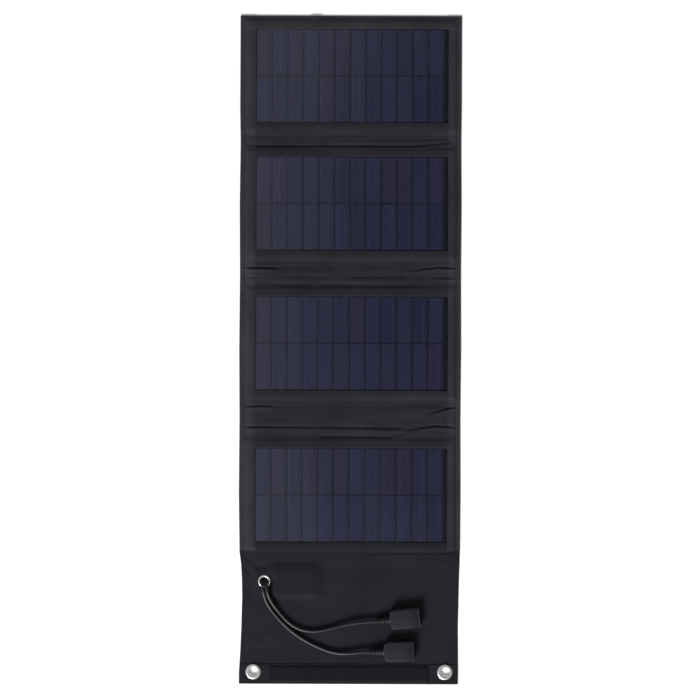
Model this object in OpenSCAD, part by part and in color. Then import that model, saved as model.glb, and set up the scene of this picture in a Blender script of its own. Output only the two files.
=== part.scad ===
// Folding solar charger, lying open and flat.
// Four laminated panels are sewn into a cloth that folds between them, and a pocket flap at the
// -Y end holds the regulator, two USB leads and two hanging eyelets.
// +Z is up from the surface it lies on, +Y runs from the flap to section 1, and the origin is
// the middle of the whole charger, on that surface. Millimetres.

/* [Solar sections] */
// Width of the clear window over each panel
window_w = 160; // [150:1:170]
// Height of the clear window over each panel
window_h = 78; // [70:1:86]
// Cell strips side by side in each panel
cell_cols = 12; // [8:1:16]
// Rows of cell strips in each panel
cell_rows = 2; // [1:1:3]
// Clearance between neighbouring cell strips
cell_gap = 0.5; // [0.3:0.1:1]

/* [Cloth] */
// Width of the cloth strip at each side of the windows
side_strip_w = 12; // [10:1:16]
// Height of the cloth border above section 1's window
top_border = 11; // [8:1:16]
// Cloth between the windows of sections 1 and 2
first_gap = 28; // [26:1:34]
// How much longer each later fold is, so that it wraps round what is already folded
gap_growth = 10; // [8:1:14]
// Length of the pocket flap below section 4's window
flap_l = 118; // [117:1:130]
// Height of the hem band at the flap's free end
hem_h = 17; // [16:1:19]
// Thickness of one layer of cloth
cloth_t = 0.6; // [0.5:0.1:0.8]

/* [Laminate] */
// Thickness of the stiff board behind the cells
board_t = 1.4; // [1:0.1:2]
// Thickness of the clear film over the cells
film_t = 0.7; // [0.6:0.1:1]

/* [USB sockets] */
// Length of the moulded body
socket_l = 25; // [22:1:30]
// Width of the moulded body
socket_w = 16.8; // [16:0.2:19]
// Height of the moulded body
socket_h = 7.6; // [7.4:0.1:8]
// Diameter of each lead
lead_d = 2.8; // [2.4:0.1:2.8]

/* [Eyelets] */
// Hole radius of the hanging eyelets
hang_r = 3.2; // [2.5:0.1:3.6]
// Outer radius of the hanging eyelets
hang_flange_r = 6.4; // [6:0.1:6.8]
// Hole radius of the lead eyelet
lead_hole_r = 3.4; // [3.4:0.1:3.6]
// Outer radius of the lead eyelet
lead_flange_r = 5.2; // [5:0.1:5.4]

/* [Hidden] */
$fn = 48;
SECTIONS = [1, 2, 3, 4];

// Colours
cloth_black = [0.17, 0.165, 0.19];
cell_blue = [0.15, 0.15, 0.24];
film_tint = [0.3, 0.32, 0.45, 0.35];
board_black = [0.1, 0.1, 0.11];
nickel = [0.8, 0.8, 0.82];
moulded_black = [0.14, 0.14, 0.16];

// How far the board reaches under the cloth round the window, and the seam beyond it
board_lap = 4;
seam_w = 2;
// Gap between cloth solids on the two sides of a fold
fold_slack = 0.3;
// Height of the flat wires between the two cloth layers
wire_t = 0.8;
wire_w = 1.6;
// Middles of the two flat wires across the charger
wire_x = [-30.4, -27.8];

half_w = window_w / 2 + side_strip_w;
board_half_w = window_w / 2 + board_lap;
gaps = [for (k = [0:2]) first_gap + k * gap_growth];
total_l = top_border + 4 * window_h + gaps[0] + gaps[1] + gaps[2] + flap_l;
y_end = total_l / 2;
board_z = cloth_t;
film_z = board_z + board_t;
frame_z = film_z + film_t;
section_t = frame_z + cloth_t;
fold_front_z = cloth_t + wire_t;

// Lower and upper edge of section k's window
function window_y1(k) = k == 1 ? y_end - top_border : window_y0(k - 1) - gaps[k - 2];
function window_y0(k) = window_y1(k) - window_h;
// Lower and upper edge of section k's cloth
function section_y0(k) = window_y0(k) - board_lap - seam_w;
function section_y1(k) = k == 1 ? y_end : window_y1(k) + board_lap + seam_w;

// Cells
cell_t = 0.2;
ribbon_t = 0.1;
ribbon_w = 1.2;
ribbon_shift = 2.6;
field_margin = 2;
cell_pitch_x = (window_w - field_margin * 2) / cell_cols;
cell_pitch_y = (window_h - field_margin / 2) / cell_rows;

// Flap: its cloth turns about fold_flap_y, and what lies on it is placed for a charger that
// ends at y = -277.5, then moved with the flap's real end
fold_flap_y = window_y0(4) - 16.5;
flap_y1 = fold_flap_y - 8;
flap_shift = 277.5 - y_end;
hem_y = -y_end + hem_h;
flap_top = 2 * cloth_t;
pocket_edge_w = 3;
// Two raised parts of the pocket's front cloth: [x0, x1, y0, inner height]
eyelet_rise = [-80, -60, -202, 1.3];
regulator_rise = [-62, -26, -205, 2.8];
lead_eyelet_at = [-70.5, -192.1];
hang_at = [half_w - 12.5, -267.3];
eyelet_wall = 0.4;
rim_h = 0.2;
lead_washer_t = 0.4;
lead_eyelet_z = cloth_t + eyelet_rise[3] - lead_washer_t;
hem_layers = 3;
hem_t = hem_layers * cloth_t;
tape_t = 0.9;
tape_half_w = hang_at[0] - 13.5;
tape_h = 13;
tape_y = hem_y - hem_h / 2;
// Where the hook strip lands on the back of section 3 when the charger is folded up
fold_34_y = (window_y0(3) + window_y1(4)) / 2;
loop_y0 = max(section_y0(3) + 1, 2 * fold_34_y - 2 * fold_flap_y + tape_y - tape_h / 2);
loop_y = [loop_y0, loop_y0 + tape_h];
loop_depth = 0.4;

// Regulator: [x0, x1], [y0, y1]
reg_x = [-59, -34];
reg_y = [-201.5, -187.5];
reg_board_t = 0.8;
reg_part_h = 1.1;
sleeve_wall = 0.3;
sleeve_air = 0.2;
reg_board_z = cloth_t + sleeve_wall + sleeve_air;
reg_parts_z = reg_board_z + reg_board_t;

// USB sockets: where the body's cable end is, and the direction its mouth points
lower_spot = [28.8, -249.9];
lower_yaw = 2;
upper_spot = [33.7, -223.6];
upper_yaw = 6;
relief_l = 13;
mouth = [12.5, 5.12];
shell_wall = 0.3;
shell_l = 15;
mouth_depth = 12.5;
tongue = [11.1, 1.84, 8.9];
contact = [7.5, 1, 0.2];
contact_pitch = 2.3;

// Routes of the two leads, from inside the lead eyelet towards the strain reliefs. The third
// number is the height of the lead's middle above the pocket's front cloth
lower_route = [
    [-71.95, -191.9, 0.8], [-71.9, -193.4, 3.4], [-71.7, -196.0, 5.2], [-71.2, -199.8, 5.7],
    [-70.3, -203.8, 4.8], [-69.0, -208.0, 3.4], [-66.8, -212.4, 2.1], [-63.7, -217.0, 1.6],
    [-59.5, -222.1, 1.5], [-54.8, -227.1, 1.5], [-49.6, -231.9, 1.5], [-43.9, -236.4, 1.5],
    [-37.8, -240.4, 1.5], [-31.4, -243.9, 1.5], [-24.8, -246.9, 1.5], [-18.0, -249.6, 1.6],
    [-11.2, -251.3, 2.0], [-4.2, -251.9, 2.7], [2.6, -251.4, 3.4], [9.2, -250.7, 3.8]];
upper_route = [
    [-69.05, -191.9, 0.8], [-69.0, -193.4, 3.4], [-68.7, -196.0, 5.3], [-68.0, -199.8, 5.8],
    [-66.8, -203.8, 4.9], [-64.9, -208.2, 3.5], [-62.1, -212.8, 2.2], [-58.5, -217.4, 1.6],
    [-54.1, -222.4, 1.5], [-49.4, -226.8, 1.5], [-44.2, -230.2, 1.5], [-38.5, -232.5, 1.6],
    [-32.3, -233.5, 1.8], [-25.8, -233.3, 2.1], [-19.3, -232.2, 2.5], [-12.8, -230.5, 2.9],
    [-6.2, -228.7, 3.2], [0.5, -227.3, 3.5], [7.2, -226.3, 3.7], [14.0, -225.6, 3.8]];

// Puts its children on the flap, at the height z
module on_flap(z) {
    translate([0, flap_shift, z])
        children();
}

// Box from its lowest corner to its highest
module block(low, high) {
    translate(low)
        cube(high - low);
}

// Upright plate with rounded corners, centred on the origin in X
module rounded_plate(w, y0, y1, t, r) {
    linear_extrude(t) {
        translate([-w / 2 + r, y0])
            square([w - 2 * r, y1 - y0]);
        translate([-w / 2, y0 + r])
            square([w, y1 - y0 - 2 * r]);
        for (x = [-w / 2 + r, w / 2 - r], y = [y0 + r, y1 - r])
            translate([x, y])
                circle(r);
    }
}

// Puts its children at each cell of section k
module at_cells(k) {
    x0 = -cell_pitch_x * (cell_cols - 1) / 2;
    y_mid = (window_y0(k) + window_y1(k)) / 2;
    y0 = y_mid - cell_pitch_y * (cell_rows - 1) / 2;
    for (col = [0:cell_cols - 1], row = [0:cell_rows - 1])
        translate([x0 + col * cell_pitch_x, y0 + row * cell_pitch_y, film_z])
            children();
}

// One cell strip, or its pocket in the film, standing on the board
module cell_strip() {
    w = cell_pitch_x - cell_gap;
    l = cell_pitch_y - cell_gap;
    translate([-w / 2, -l / 2, 0])
        cube([w, l, cell_t]);
}

// The ribbon soldered along one cell strip
module cell_ribbon() {
    l = cell_pitch_y - 2 * cell_gap;
    translate([ribbon_shift - ribbon_w / 2, -l / 2, cell_t])
        cube([ribbon_w, l, ribbon_t]);
}

// Sections

// Back cloth of section k. Section 3's has a shallow bed for the loop strip
module back_cover(k) {
    color(cloth_black)
        difference() {
            block([-half_w, section_y0(k), 0], [half_w, section_y1(k), cloth_t]);
            if (k == 3)
                block([-tape_half_w, loop_y[0], -1], [tape_half_w, loop_y[1], loop_depth]);
        }
}

module loop_strip() {
    color(cloth_black)
        block([-tape_half_w, loop_y[0], 0], [tape_half_w, loop_y[1], loop_depth]);
}

// Glass-fibre board of section k
module panel_board(k) {
    color(board_black)
        translate([0, 0, board_z])
            rounded_plate(2 * board_half_w, window_y0(k) - board_lap,
                          window_y1(k) + board_lap, board_t, 2);
}

module cells(k) {
    color(cell_blue)
        at_cells(k)
            cell_strip();
}

module tab_ribbons(k) {
    color([0.4, 0.42, 0.5])
        at_cells(k)
            cell_ribbon();
}

// Clear film of section k, moulded round the cells and their ribbons
module clear_film(k) {
    color(film_tint)
        difference() {
            translate([0, 0, film_z])
                rounded_plate(2 * board_half_w, window_y0(k) - board_lap,
                              window_y1(k) + board_lap, film_t, 2);
            at_cells(k) {
                cell_strip();
                cell_ribbon();
            }
        }
}

// Side strip of section k's front cloth: it laps over the film and comes down outside the board
module side_strip(k, side) {
    outer = side * half_w;
    edge = side * board_half_w;
    inner = side * window_w / 2;
    y = [section_y0(k), section_y1(k)];
    block([min(outer, edge), y[0], cloth_t], [max(outer, edge), y[1], section_t]);
    block([min(edge, inner), y[0], frame_z], [max(edge, inner), y[1], section_t]);
}

// Cloth band between section k's window and its lower (side -1) or upper (side 1) edge
module window_band(k, side) {
    lip = side < 0 ? window_y0(k) : window_y1(k);
    edge = lip + side * board_lap;
    outer = side < 0 ? section_y0(k) : section_y1(k);
    x = window_w / 2;
    block([-x, min(lip, edge), frame_z], [x, max(lip, edge), section_t]);
    block([-x, min(edge, outer), fold_front_z], [x, max(edge, outer), section_t]);
}

// Front cloth round section k's window, in four pieces
module front_frame(k) {
    color(cloth_black)
        for (side = [-1, 1]) {
            side_strip(k, side);
            window_band(k, side);
        }
}

// Folds

// The two flat wires from y0 to y1
module flat_wires(y0, y1) {
    for (x = wire_x)
        block([x - wire_w / 2, y0, cloth_t], [x + wire_w / 2, y1, fold_front_z]);
}

// Cloth of one fold: back and front layer, sewn together at the sides, with the wires between
module fold_cloth(y0, y1) {
    inside_x = half_w - pocket_edge_w;
    color(cloth_black)
        difference() {
            block([-half_w, y0, 0], [half_w, y1, fold_front_z + cloth_t]);
            block([-inside_x, y0 - 1, cloth_t], [inside_x, y1 + 1, fold_front_z]);
        }
}

// The fold above section k + 1, which carries it
module hinge_cloth(k) {
    fold_cloth(section_y1(k + 1), section_y0(k) - fold_slack);
}

module link_wires(k) {
    color("darkred")
        flat_wires(window_y1(k + 1) + board_lap, section_y0(k) - fold_slack);
}

// The fold between section 4 and the flap
module hinge_cloth_flap() {
    fold_cloth(flap_y1 + fold_slack, section_y0(4));
}

module link_wires_flap() {
    color("darkred")
        flat_wires(flap_y1 + fold_slack, window_y0(4) - board_lap);
}

// Flap

module flap_back() {
    color(cloth_black)
        block([-half_w, hem_y, 0], [half_w, flap_y1, cloth_t]);
}

// Outside and inside of one raised part of the pocket's front cloth
module rise_outside(rise) {
    y0 = rise[2] + flap_shift;
    block([rise[0] - cloth_t, y0 - cloth_t, cloth_t],
          [rise[1] + cloth_t, flap_y1, cloth_t + rise[3] + cloth_t]);
}

module rise_inside(rise) {
    y0 = rise[2] + flap_shift;
    block([rise[0], y0, 0], [rise[1], flap_y1 + 1, cloth_t + rise[3]]);
}

// Front cloth of the pocket: flat, and raised over the lead eyelet and over the regulator
module flap_front() {
    eyelet_top = cloth_t + eyelet_rise[3];
    color(cloth_black)
        difference() {
            union() {
                block([-half_w, hem_y, cloth_t], [half_w, flap_y1, flap_top]);
                rise_outside(eyelet_rise);
                rise_outside(regulator_rise);
            }
            rise_inside(eyelet_rise);
            rise_inside(regulator_rise);
            on_flap(eyelet_top - 1)
                translate(lead_eyelet_at)
                    cylinder(h = cloth_t + 2, r = lead_hole_r + eyelet_wall);
        }
}

module at_hanging_eyelets() {
    on_flap(0)
        for (side = [-1, 1])
            translate([side * hang_at[0], hang_at[1], 0])
                children();
}

// Hem band: the cloth folded over at the flap's end, pressed thin under each eyelet washer
module hem_band() {
    color([0.14, 0.135, 0.15])
        difference() {
            block([-half_w, -y_end, 0], [half_w, hem_y, hem_t]);
            at_hanging_eyelets() {
                translate([0, 0, -1])
                    cylinder(h = hem_t + 2, r = hang_r + eyelet_wall);
                translate([0, 0, -1])
                    cylinder(h = cloth_t + 1, r = hang_flange_r);
            }
        }
}

module hook_strip() {
    color([0.12, 0.12, 0.13])
        block([-tape_half_w, tape_y - tape_h / 2, hem_t],
              [tape_half_w, tape_y + tape_h / 2, hem_t + tape_t]);
}

// Eyelet: a straight barrel with a domed flange on top, its foot at z = 0
module eyelet(hole_r, flange_r, flange_z, dome_h) {
    mid = (hole_r + flange_r) / 2;
    half = (flange_r - hole_r) / 2;
    color(nickel)
        rotate_extrude()
            polygon(concat(
                [[hole_r, 0], [hole_r + eyelet_wall, 0], [hole_r + eyelet_wall, flange_z],
                 [flange_r, flange_z]],
                [for (a = [0:15:180]) [mid + half * cos(a), flange_z + rim_h + dome_h * sin(a)]]));
}

// The flat ring that an eyelet's barrel is set into
module eyelet_washer(hole_r, flange_r, t) {
    color(nickel)
        difference() {
            cylinder(h = t, r = flange_r);
            translate([0, 0, -1])
                cylinder(h = t + 2, r = hole_r + eyelet_wall);
        }
}

module hanging_eyelets() {
    at_hanging_eyelets()
        eyelet(hang_r, hang_flange_r, hem_t, 1);
}

module hanging_eyelet_washers() {
    at_hanging_eyelets()
        eyelet_washer(hang_r, hang_flange_r, cloth_t);
}

module lead_eyelet() {
    on_flap(lead_eyelet_z)
        translate(lead_eyelet_at)
            eyelet(lead_hole_r, lead_flange_r, lead_washer_t + cloth_t, 0.6);
}

module lead_eyelet_washer() {
    on_flap(lead_eyelet_z)
        translate(lead_eyelet_at)
            eyelet_washer(lead_hole_r, lead_flange_r, lead_washer_t);
}

// Regulator

// Its circuit board, whose ends stick out of the sleeve
module regulator_board() {
    color("darkgreen")
        on_flap(0)
            block([reg_x[0], reg_y[0], reg_board_z], [reg_x[1], reg_y[1], reg_parts_z]);
}

// Shielded coil
module regulator_coil() {
    color("dimgray")
        on_flap(reg_parts_z)
            translate([reg_x[0] + 7, (reg_y[0] + reg_y[1]) / 2, 0])
                difference() {
                    cylinder(h = reg_part_h, r = 3.4);
                    translate([0, 0, reg_part_h - 0.4])
                        cylinder(h = 1, r = 2.2);
                }
}

module regulator_chip() {
    color("black")
        on_flap(reg_parts_z)
            block([reg_x[0] + 12.5, reg_y[0] + 4.6, 0], [reg_x[0] + 17.5, reg_y[0] + 8.6, 0.9]);
}

module regulator_capacitors() {
    color("tan")
        on_flap(reg_parts_z)
            for (i = [0:3])
                translate([reg_x[0] + 19.5, reg_y[0] + 2 + i * 2.6, 0])
                    cube([3.2, 1.6, reg_part_h - 0.1]);
}

// Heat-shrink sleeve, open at both ends
module regulator_sleeve() {
    gap = [sleeve_air, sleeve_wall + sleeve_air];
    top = reg_parts_z + reg_part_h;
    x = [reg_x[0] + 1, reg_x[1] - 1];
    color("black")
        on_flap(0)
            difference() {
                block([x[0], reg_y[0] - gap[1], cloth_t],
                      [x[1], reg_y[1] + gap[1], top + sleeve_wall]);
                block([x[0] - 1, reg_y[0] - gap[0], cloth_t + sleeve_wall],
                      [x[1] + 1, reg_y[1] + gap[0], top]);
            }
}

// Flat wires inside the pocket, from the fold down to the end of the regulator's board
module feed_wires() {
    color("darkred")
        for (i = [0, 1]) {
            y = flap_shift + (reg_y[0] + reg_y[1]) / 2 + (i == 0 ? 2 : -2);
            edge = wire_x[i] + wire_w / 2;
            block([wire_x[i] - wire_w / 2, y, cloth_t], [edge, flap_y1, fold_front_z]);
            block([reg_x[1], y, cloth_t], [edge, y + wire_w, fold_front_z]);
        }
}

// The four bare cores of the two leads, from the eyelet to the regulator's board
module lead_cores() {
    core_r = 0.35;
    color("darkred")
        on_flap(cloth_t + core_r)
            for (i = [0:3])
                translate([lead_eyelet_at[0] + 3, lead_eyelet_at[1] + 2.4 - i * 1.3, 0])
                    rotate([0, 90, 0])
                        cylinder(h = reg_x[0] - lead_eyelet_at[0] - 3, r = core_r, $fn = 24);
}

// Leads

function unit(v) = v / norm(v);

// Direction of the route at point i. At the end it is the direction that the socket points
function heading(route, i, yaw) =
    i == 0 ? unit(route[1] - route[0]) :
    i == len(route) - 1 ? [cos(yaw), sin(yaw), 0] :
    unit(route[i + 1] - route[i - 1]);

// One ring of the tube round point c, across direction t
function ring(c, t, r, sides) =
    let (side = unit(cross(t, [0, 0, 1])), up = cross(side, t))
    [for (s = [0:sides - 1]) let (a = 360 * s / sides) c + r * (cos(a) * side + sin(a) * up)];

// A lead along its route, ending at the strain relief of the socket at spot
module lead_tube(free_route, spot, yaw) {
    sides = 8;
    foot_at = spot - relief_l * [cos(yaw), sin(yaw)];
    route = concat(free_route, [[foot_at[0], foot_at[1], socket_h / 2]]);
    last = len(route) - 1;
    points = [for (i = [0:last]) each ring(route[i], heading(route, i, yaw), lead_d / 2, sides)];
    walls = [for (i = [0:last - 1], s = [0:sides - 1])
        let (a = i * sides + s, b = i * sides + (s + 1) % sides)
        each [[a, b, b + sides], [a, b + sides, a + sides]]];
    foot = [for (s = [sides - 1:-1:0]) s];
    head = [for (s = [0:sides - 1]) last * sides + s];
    color([0.1, 0.1, 0.1])
        on_flap(flap_top)
            polyhedron(points, concat([foot], walls, [head]));
}

// USB sockets. Each is drawn with its cable end at the origin, its underside at z = 0 and its
// mouth towards +X

module at_socket(spot, yaw) {
    on_flap(flap_top)
        translate(spot)
            rotate([0, 0, yaw])
                children();
}

// Ribbed strain relief, tapering from the moulded body down to the lead
module strain_relief() {
    ribs = 5;
    pitch = relief_l / (ribs + 0.5);
    groove = 0.5;
    function relief_r(x) = lead_d / 2 + 0.7 + 1.4 * x / relief_l;
    color(moulded_black)
        translate([-relief_l, 0, socket_h / 2])
            rotate([0, 90, 0])
                rotate_extrude($fn = 32)
                    polygon(concat(
                        [[0, 0]],
                        [for (i = [0:ribs - 1]) let (x = i * pitch) each [
                            [relief_r(x), x], [relief_r(x + pitch / 2), x + pitch / 2],
                            [relief_r(x) - groove, x + pitch / 2], [relief_r(x) - groove, x + pitch]]],
                        [[relief_r(ribs * pitch), ribs * pitch], [relief_r(relief_l), relief_l],
                         [0, relief_l]]));
}

// Outline of the moulded body: two large corners at the cable end, two small ones at the mouth
module socket_outline() {
    big_r = 4;
    small_r = 0.8;
    w = socket_w;
    for (side = [-1, 1]) {
        translate([big_r, side * (w / 2 - big_r)])
            circle(big_r);
        translate([socket_l - small_r, side * (w / 2 - small_r)])
            circle(small_r);
    }
    translate([big_r, -w / 2])
        square([socket_l - big_r - small_r, w]);
    translate([0, -w / 2 + big_r])
        square([socket_l / 2, w - 2 * big_r]);
    translate([socket_l / 2, -w / 2 + small_r])
        square([socket_l / 2, w - 2 * small_r]);
}

// Box centred on the mouth's axis, from x0 to x1
module mouth_box(x0, x1, grow) {
    size = [mouth[0] + 2 * grow, mouth[1] + 2 * grow];
    z_mid = socket_h / 2;
    block([x0, -size[0] / 2, z_mid - size[1] / 2], [x1, size[0] / 2, z_mid + size[1] / 2]);
}

module socket_body() {
    color(moulded_black)
        difference() {
            linear_extrude(socket_h)
                socket_outline();
            mouth_box(socket_l - shell_l, socket_l + 1, shell_wall);
        }
}

// Folded metal shell that a plug slides into
module socket_shell() {
    color(nickel)
        difference() {
            mouth_box(socket_l - shell_l, socket_l, shell_wall);
            mouth_box(socket_l - shell_l - 1, socket_l + 1, 0);
        }
}

// Insulator: a base that fills the back of the shell, and the tongue that carries the contacts
module socket_tongue() {
    base_x = socket_l - mouth_depth;
    z1 = (socket_h + mouth[1]) / 2 - 0.6;
    color("white") {
        mouth_box(socket_l - shell_l, base_x, 0);
        block([base_x, -tongue[0] / 2, z1 - tongue[1]], [base_x + tongue[2], tongue[0] / 2, z1]);
    }
}

module socket_contacts() {
    base_x = socket_l - mouth_depth;
    z1 = (socket_h + mouth[1]) / 2 - 0.6 - tongue[1];
    color("gold")
        for (i = [0:3])
            translate([base_x, (i - 1.5) * contact_pitch - contact[1] / 2, z1 - contact[2]])
                cube(contact);
}

for (k = SECTIONS) {
    back_cover(k);
    panel_board(k);
    cells(k);
    tab_ribbons(k);
    clear_film(k);
    front_frame(k);
}
for (k = [1:3]) {
    hinge_cloth(k);
    link_wires(k);
}
hinge_cloth_flap();
link_wires_flap();
loop_strip();
flap_back();
flap_front();
hem_band();
hook_strip();
hanging_eyelets();
hanging_eyelet_washers();
lead_eyelet();
lead_eyelet_washer();
regulator_board();
regulator_coil();
regulator_chip();
regulator_capacitors();
regulator_sleeve();
feed_wires();
lead_cores();
lead_tube(lower_route, lower_spot, lower_yaw);  // usb_lead_lower
lead_tube(upper_route, upper_spot, upper_yaw);  // usb_lead_upper
at_socket(lower_spot, lower_yaw) strain_relief();  // strain_relief_lower
at_socket(upper_spot, upper_yaw) strain_relief();  // strain_relief_upper
at_socket(lower_spot, lower_yaw) socket_body();  // socket_body_lower
at_socket(upper_spot, upper_yaw) socket_body();  // socket_body_upper
at_socket(lower_spot, lower_yaw) socket_shell();  // socket_shell_lower
at_socket(upper_spot, upper_yaw) socket_shell();  // socket_shell_upper
at_socket(lower_spot, lower_yaw) socket_tongue();  // socket_tongue_lower
at_socket(upper_spot, upper_yaw) socket_tongue();  // socket_tongue_upper
at_socket(lower_spot, lower_yaw) socket_contacts();  // socket_contacts_lower
at_socket(upper_spot, upper_yaw) socket_contacts();  // socket_contacts_upper
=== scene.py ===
"""Folding solar charger, lying open on a pale floor: four laminated panels in black polyester
cloth, joined by cloth folds, with a pocket flap that holds the regulator and two USB leads.
Objects are in metres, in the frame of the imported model. Sizes worked in millimetres say so."""

import math

import bmesh
import bpy
import numpy as np
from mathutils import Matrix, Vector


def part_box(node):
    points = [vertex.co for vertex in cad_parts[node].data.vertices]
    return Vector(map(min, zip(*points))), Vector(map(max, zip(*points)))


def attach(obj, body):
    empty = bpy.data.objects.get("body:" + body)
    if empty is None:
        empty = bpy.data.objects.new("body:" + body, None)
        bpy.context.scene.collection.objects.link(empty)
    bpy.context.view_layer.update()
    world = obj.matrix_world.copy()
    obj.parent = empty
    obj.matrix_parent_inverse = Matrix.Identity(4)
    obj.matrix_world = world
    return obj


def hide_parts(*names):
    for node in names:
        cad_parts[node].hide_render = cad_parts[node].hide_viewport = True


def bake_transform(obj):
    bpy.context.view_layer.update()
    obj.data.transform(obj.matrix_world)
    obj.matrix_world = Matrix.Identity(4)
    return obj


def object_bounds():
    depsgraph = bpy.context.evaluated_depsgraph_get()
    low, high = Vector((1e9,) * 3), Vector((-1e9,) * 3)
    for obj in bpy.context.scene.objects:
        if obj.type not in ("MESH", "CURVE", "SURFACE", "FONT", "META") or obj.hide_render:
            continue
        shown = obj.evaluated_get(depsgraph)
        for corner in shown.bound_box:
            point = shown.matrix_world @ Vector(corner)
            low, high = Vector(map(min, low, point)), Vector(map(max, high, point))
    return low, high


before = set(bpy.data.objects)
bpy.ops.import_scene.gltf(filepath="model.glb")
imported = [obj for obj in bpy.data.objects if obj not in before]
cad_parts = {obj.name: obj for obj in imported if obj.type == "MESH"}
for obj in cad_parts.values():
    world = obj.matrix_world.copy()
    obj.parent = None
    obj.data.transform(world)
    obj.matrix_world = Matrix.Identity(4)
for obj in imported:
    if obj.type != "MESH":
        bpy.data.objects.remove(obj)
cad_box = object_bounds()
MM = 0.001

# Camera
# It looks straight down from 1.6 m, with a hundred millimetre lens, so the charger is seen
# almost without perspective. The charger lies a fifth of a degree off square to it.
camera = bpy.data.objects.new("camera", bpy.data.cameras.new("camera"))
camera.data.lens = 100
camera.data.sensor_width = 36
camera.data.clip_start = 0.05
camera.location = (0, 0, 1.616)
camera.rotation_euler = (0, 0, math.radians(0.2))
bpy.context.scene.collection.objects.link(camera)
bpy.context.scene.camera = camera
bpy.context.scene.view_settings.view_transform = "Standard"


# USB leads
# Two short two-core leads in glossy black PVC, extruded round, 2.8 mm thick. They come up out
# of the lead eyelet side by side, lie on the pocket in a loose bow and end in a socket each.
def srgb(code):
    """A hex colour such as #26262a as linear red, green, blue and an alpha of 1."""
    parts = [int(code[i : i + 2], 16) / 255 for i in (1, 3, 5)]
    return [c / 12.92 if c <= 0.04045 else ((c + 0.055) / 1.055) ** 2.4 for c in parts] + [1]


def add_node(tree, kind, settings=None, links=None):
    """Adds a node: settings are its sockets' values or its own attributes, links its inputs."""
    made = tree.nodes.new(kind)
    for key, value in (settings or {}).items():
        if isinstance(key, int) or key in made.inputs:
            made.inputs[key].default_value = value
        else:
            setattr(made, key, value)
    for key, source in (links or {}).items():
        tree.links.new(source, made.inputs[key])
    return made


def start_material(name, values=None):
    """A new material with one shader, set to values: the material, its node tree, the shader."""
    made = bpy.data.materials.new(name)
    made.use_nodes = True
    made.node_tree.nodes.clear()
    shader = add_node(made.node_tree, "ShaderNodeBsdfPrincipled", values)
    add_node(made.node_tree, "ShaderNodeOutputMaterial", {}, {"Surface": shader.outputs[0]})
    return made, made.node_tree, shader


def mottle(tree, shader, dark, light, scale, detail):
    """Colours a surface between two tints, in patches by a noise, and returns the noise."""
    place = add_node(tree, "ShaderNodeTexCoord")
    noise = add_node(
        tree, "ShaderNodeTexNoise", {"Scale": scale, "Detail": detail}, {"Vector": place.outputs["Object"]}
    )
    tint = add_node(
        tree, "ShaderNodeMix", {"data_type": "RGBA", "A": srgb(dark), "B": srgb(light)},
        {"Factor": noise.outputs["Fac"]},
    )
    tree.links.new(tint.outputs["Result"], shader.inputs["Base Color"])
    return noise


def vary_surface(tree, shader, source, gloss=None, relief=None):
    """Lets source vary a surface: gloss is its least and most roughness, relief is how strong
    and how deep in metres its bumps are."""
    if gloss:
        spread = add_node(
            tree, "ShaderNodeMapRange", {"To Min": gloss[0], "To Max": gloss[1]}, {"Value": source}
        )
        tree.links.new(spread.outputs[0], shader.inputs["Roughness"])
    if relief:
        bumps = add_node(
            tree, "ShaderNodeBump", {"Strength": relief[0], "Distance": relief[1]}, {"Height": source}
        )
        tree.links.new(bumps.outputs[0], shader.inputs["Normal"])


# PVC, extruded: glossy, with the faint waviness of a soft jacket
extruded_pvc, tree, shader = start_material(
    "extruded_pvc", {"Base Color": srgb("#16151a"), "Specular IOR Level": 0.36},
)
place = add_node(tree, "ShaderNodeTexCoord")
waves = add_node(
    tree, "ShaderNodeTexNoise", {"Scale": 420, "Detail": 2}, {"Vector": place.outputs["Object"]}
)
vary_surface(tree, shader, waves.outputs["Fac"], gloss=(0.36, 0.46), relief=(0.15, 0.0002))

lead_d = 0.0028
lead_routes = {
    "lower": [
        (-0.07195, -0.1919, 0.0020), (-0.0719, -0.1934, 0.0046), (-0.0717, -0.1960, 0.0064),
        (-0.0712, -0.1998, 0.0069), (-0.0703, -0.2038, 0.0060), (-0.0690, -0.2080, 0.0046),
        (-0.0668, -0.2124, 0.0033), (-0.0637, -0.2170, 0.0028), (-0.0595, -0.2221, 0.0027),
        (-0.0548, -0.2271, 0.0027), (-0.0496, -0.2319, 0.0027), (-0.0439, -0.2364, 0.0027),
        (-0.0378, -0.2404, 0.0027), (-0.0314, -0.2439, 0.0027), (-0.0248, -0.2469, 0.0027),
        (-0.0180, -0.2496, 0.0028), (-0.0112, -0.2513, 0.0032), (-0.0042, -0.2519, 0.0039),
        (0.0026, -0.2514, 0.0046), (0.0092, -0.2507, 0.0050), (0.0158, -0.25035, 0.0050),
    ],
    "upper": [
        (-0.06905, -0.1919, 0.0020), (-0.0690, -0.1934, 0.0046), (-0.0687, -0.1960, 0.0065),
        (-0.0680, -0.1998, 0.0070), (-0.0668, -0.2038, 0.0061), (-0.0649, -0.2082, 0.0047),
        (-0.0621, -0.2128, 0.0034), (-0.0585, -0.2174, 0.0028), (-0.0541, -0.2224, 0.0027),
        (-0.0494, -0.2268, 0.0027), (-0.0442, -0.2302, 0.0027), (-0.0385, -0.2325, 0.0028),
        (-0.0323, -0.2335, 0.0030), (-0.0258, -0.2333, 0.0033), (-0.0193, -0.2322, 0.0037),
        (-0.0128, -0.2305, 0.0041), (-0.0062, -0.2287, 0.0044), (0.0005, -0.2273, 0.0047),
        (0.0072, -0.2263, 0.0049), (0.0140, -0.2256, 0.0050), (0.0208, -0.22496, 0.0050),
    ],
}
leads = {}
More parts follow.
